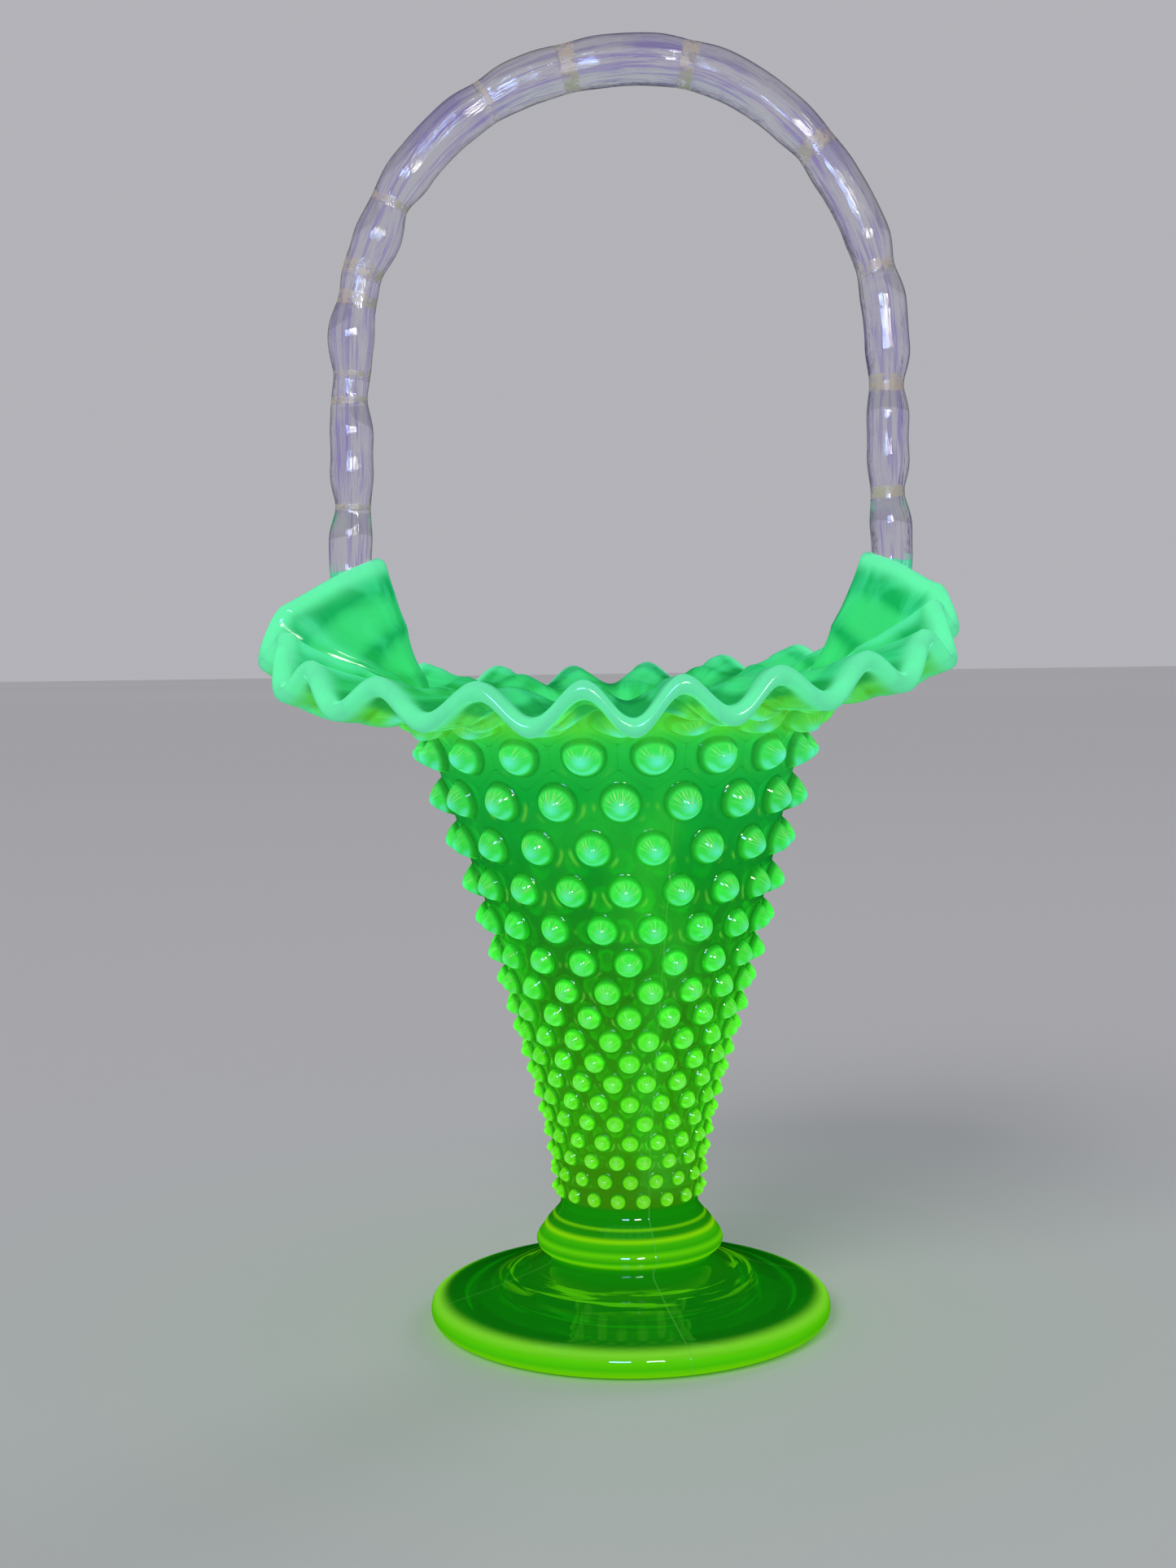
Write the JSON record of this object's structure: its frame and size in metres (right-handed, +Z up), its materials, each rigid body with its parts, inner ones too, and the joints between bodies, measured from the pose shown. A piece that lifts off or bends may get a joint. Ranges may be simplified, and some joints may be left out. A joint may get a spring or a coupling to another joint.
{
  "type": "footed hobnail glass basket vase",
  "caption": "Footed trumpet-shaped glass basket vase with a hobnail wall, a crimped flared rim raised at two sides and a tall arched glass handle.",
  "frame": {"origin": "on the table, under the middle of the foot: the bottom centre of the object's box", "axes": "+Z up, -Y the front, +X the right of a viewer in front; the handle's arch lies in the XZ plane"},
  "size_m": [0.1742, 0.1718, 0.3222],
  "materials": {
    "uranium_glass": "fire-polished opalescent uranium glass, glowing green under ultraviolet light, mint and milky at the rim",
    "clear_glass": "fire-polished clear glass"
  },
  "bodies": {
    "root": {"vase_body": "uranium_glass", "handle": "clear_glass"}
  },
  "joints": []
}
